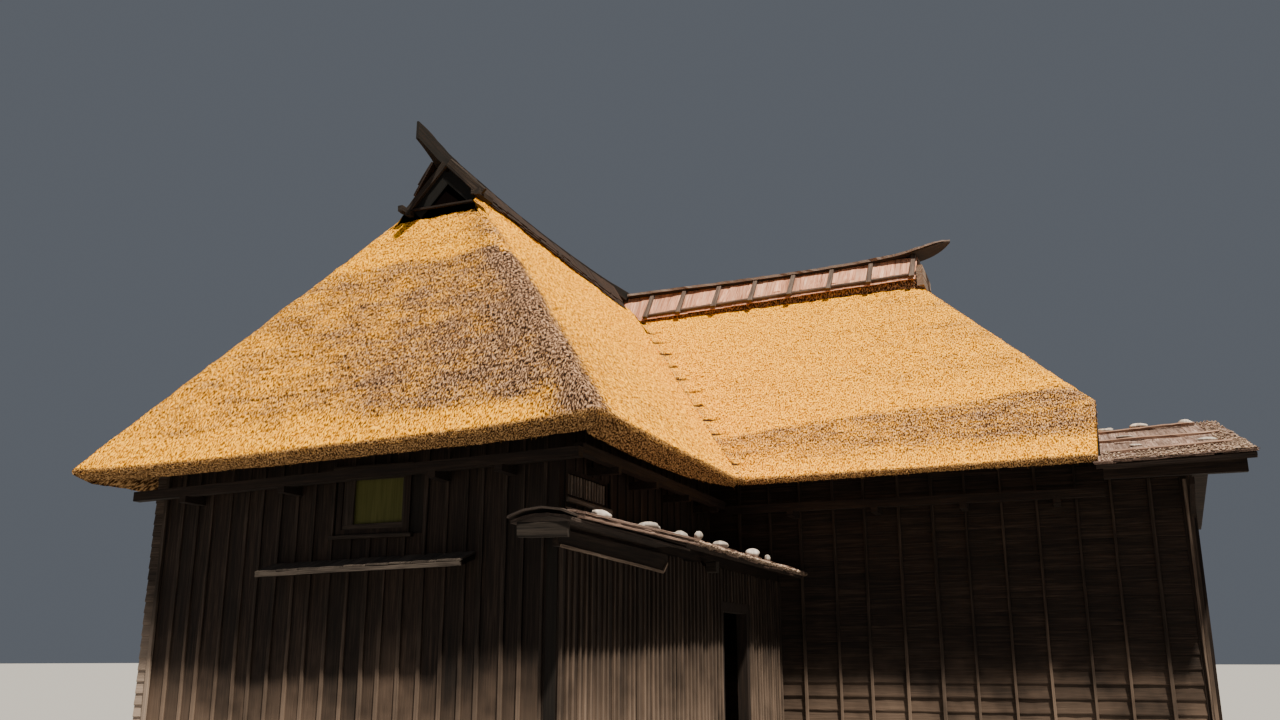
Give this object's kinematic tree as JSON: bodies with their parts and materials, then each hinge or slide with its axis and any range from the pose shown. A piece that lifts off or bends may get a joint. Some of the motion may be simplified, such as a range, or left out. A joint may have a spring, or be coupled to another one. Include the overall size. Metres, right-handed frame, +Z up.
{
  "type": "minka farmhouse",
  "caption": "Thatched farmhouse with two wings in an L, capped ridges with upturned ends, a smoke gable, boarded walls, an entrance lean-to and a low bark-roofed end bay",
  "frame": {"origin": "centre of the bounding box on the ground", "axes": "+Z up, +X to the right along the main wing, +Y away from the front, along the front wing"},
  "size_m": [13.18, 15.2, 8.56],
  "materials": {
    "thatch": "golden straw, weathered grey brown in bands",
    "cedar_bark": "pinkish brown cedar bark, matt",
    "dark_timber": "old smoke dark timber, matt",
    "wall_boards": "weathered brown boards with thin battens",
    "window_sheet": "dull yellow paper behind the window",
    "bark_roof": "rough bark sheets, weathered, with moss at the edge"
  },
  "bodies": {
    "root": {"front_hip_thatch": "thatch", "left_slope_thatch": "thatch", "inner_slope_thatch": "thatch", "main_front_thatch": "thatch", "main_back_thatch": "thatch", "end_hip_thatch": "thatch", "front_ridge_cap": "cedar_bark", "main_ridge_cap": "cedar_bark", "front_ridge_pole": "dark_timber", "main_ridge_pole": "dark_timber", "left_bargeboard": "dark_timber", "right_bargeboard": "dark_timber", "gable_sill": "dark_timber", "front_left_post": "dark_timber", "front_right_post": "dark_timber", "back_left_post": "dark_timber", "end_front_post": "dark_timber", "end_back_post": "dark_timber", "front_wall": "wall_boards", "inner_side_wall": "wall_boards", "left_wall": "wall_boards", "main_front_wall": "wall_boards", "back_wall": "wall_boards", "end_bay_wall": "wall_boards", "end_tie_beam": "dark_timber", "upper_end_wall": "wall_boards", "window_frame": "dark_timber", "window_sheet": "window_sheet", "lattice_frame": "dark_timber", "front_hood": "dark_timber", "front_eave_beam": "dark_timber", "inner_eave_beam": "dark_timber", "main_eave_beam": "dark_timber", "lean_to_near_wall": "wall_boards", "lean_to_far_wall": "wall_boards", "lean_to_wall_over_door": "wall_boards", "door_frame": "dark_timber", "lean_to_roof": "bark_roof", "screen_roof": "bark_roof", "lean_to_plate": "dark_timber", "eave_board": "dark_timber", "end_roof_front": "bark_roof", "end_roof_back": "bark_roof", "end_front_purlin": "dark_timber", "end_ridge_purlin": "dark_timber", "end_back_purlin": "dark_timber", "end_front_strut": "dark_timber", "end_back_strut": "dark_timber"}
  },
  "joints": []
}
